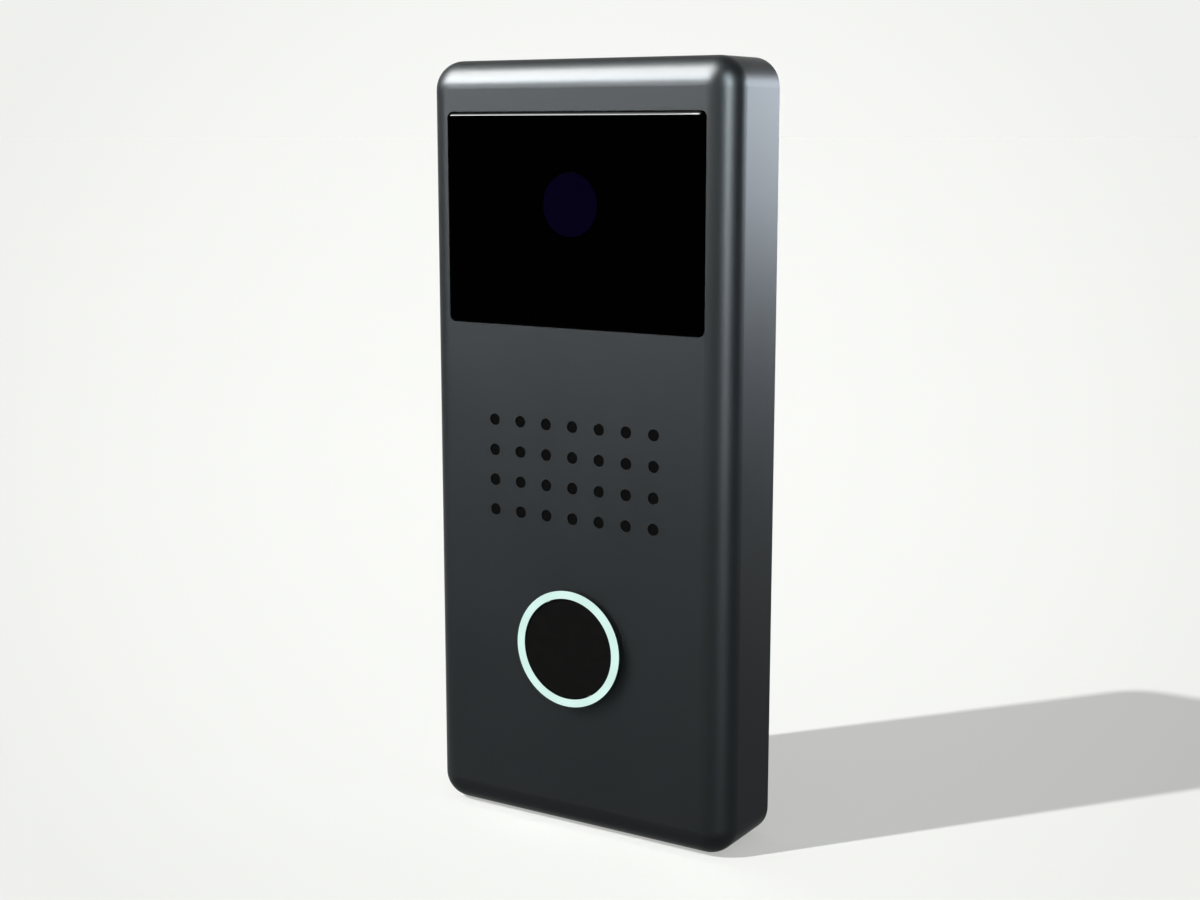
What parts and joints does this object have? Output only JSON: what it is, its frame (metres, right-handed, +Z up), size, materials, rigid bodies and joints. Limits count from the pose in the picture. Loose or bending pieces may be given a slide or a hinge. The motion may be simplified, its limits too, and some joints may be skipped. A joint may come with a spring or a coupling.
{
  "type": "door intercom station",
  "caption": "Slim upright door station with a black camera window, a drilled speaker grille and a round call button in a luminous ring, on a steel wall bracket.",
  "frame": {"origin": "middle of the wall bracket's four screw holes, on the wall plane", "axes": "+Y into the wall, +Z up, +X to the right of somebody facing the station"},
  "size_m": [0.0788, 0.0249, 0.1756],
  "materials": {
    "case_metal": "dark graphite, satin",
    "window_black": "deep black, high gloss",
    "window_tape": "matt foam tape",
    "lens_navy": "dark navy coated glass",
    "lens_black": "black anodised",
    "lens_element": "coated glass",
    "holder_black": "matt black",
    "filter_glass": "tinted glass",
    "sensor_chip": "dark chip",
    "board_green": "green solder mask",
    "chip_black": "moulded black",
    "screw_steel": "zinc plated",
    "lamp_clear": "clear resin",
    "mesh_black": "fine woven mesh",
    "gasket_black": "soft black rubber",
    "basket_steel": "plated sheet",
    "cone_film": "thin film",
    "coil_copper": "enamelled copper wire",
    "magnet_grey": "nickel plated magnet",
    "light_guide": "luminous diffuser",
    "sleeve_black": "black",
    "button_black": "fine matt black",
    "spring_steel": "spring wire",
    "plunger_ivory": "ivory",
    "lamp_white": "white chip lamp",
    "relay_white": "white moulded",
    "capacitor_can": "bare can",
    "terminal_green": "green moulded",
    "brass_screw": "nickel brass",
    "socket_ivory": "ivory",
    "cable_white": "white film",
    "lead_red": "insulated wire",
    "cover_black": "matt black",
    "bracket_steel": "zinc plated sheet"
  },
  "bodies": {
    "station": {"front_housing": "case_metal", "camera_window": "window_black", "window_tape": "window_tape", "lens_glass": "lens_navy", "lens_barrel": "lens_black", "lens_front_element": "lens_element", "lens_holder": "holder_black", "infrared_filter": "filter_glass", "image_sensor": "sensor_chip", "camera_board": "board_green", "camera_board_parts": "chip_black", "camera_screws": "screw_steel", "lamp_board": "board_green", "infrared_lamps": "lamp_clear", "lamp_board_spacers": "brass_screw", "speaker_mesh": "mesh_black", "speaker_gasket": "gasket_black", "speaker_basket": "basket_steel", "speaker_surround": "gasket_black", "speaker_magnet": "magnet_grey", "magnet_top_plate": "basket_steel", "magnet_yoke": "basket_steel", "speaker_washers": "screw_steel", "speaker_screws": "screw_steel", "microphone": "basket_steel", "microphone_boot": "gasket_black", "light_ring": "light_guide", "button_carrier": "sleeve_black", "button_gasket": "gasket_black", "carrier_screws": "screw_steel", "button_spring": "spring_steel", "call_switch": "chip_black", "ring_leds": "lamp_white", "main_board": "board_green", "main_board_screws": "screw_steel", "processor": "chip_black", "shield_can": "basket_steel", "door_relay": "relay_white", "capacitors": "capacitor_can", "inductors": "chip_black", "terminal_block": "terminal_green", "terminal_screws": "brass_screw", "cable_sockets": "socket_ivory", "flat_cable": "cable_white", "speaker_lead_socket": "socket_ivory", "speaker_leads": "lead_red", "rear_cover": "cover_black", "cover_seal": "gasket_black", "bay_gasket": "gasket_black", "cover_screws": "screw_steel", "wall_bracket": "bracket_steel", "locking_screw": "screw_steel"},
    "button": {"call_button": "button_black", "stem_clip": "spring_steel"},
    "plunger": {"switch_plunger": "plunger_ivory"},
    "cone": {"speaker_cone": "cone_film", "voice_coil": "coil_copper"}
  },
  "joints": [
    {"name": "call_button_press", "type": "slide", "parent": "station", "child": "button", "axis": [0, 1, 0], "range_m": [0, 0.0008], "stiffness_N_per_m": 1500, "springref_m": -0.001, "deforming": ["button_spring"]},
    {"name": "switch_plunger_travel", "type": "slide", "parent": "station", "child": "plunger", "axis": [0, 1, 0], "range_m": [0, 0.0008]},
    {"name": "speaker_cone_travel", "type": "slide", "parent": "station", "child": "cone", "axis": [0, 1, 0], "range_m": [-0.00035, 0.00035], "stiffness_N_per_m": 800, "deforming": ["speaker_surround"]}
  ],
  "couplings": [
    {"joint": "switch_plunger_travel", "follows": "call_button_press", "ratio": 1}
  ]
}
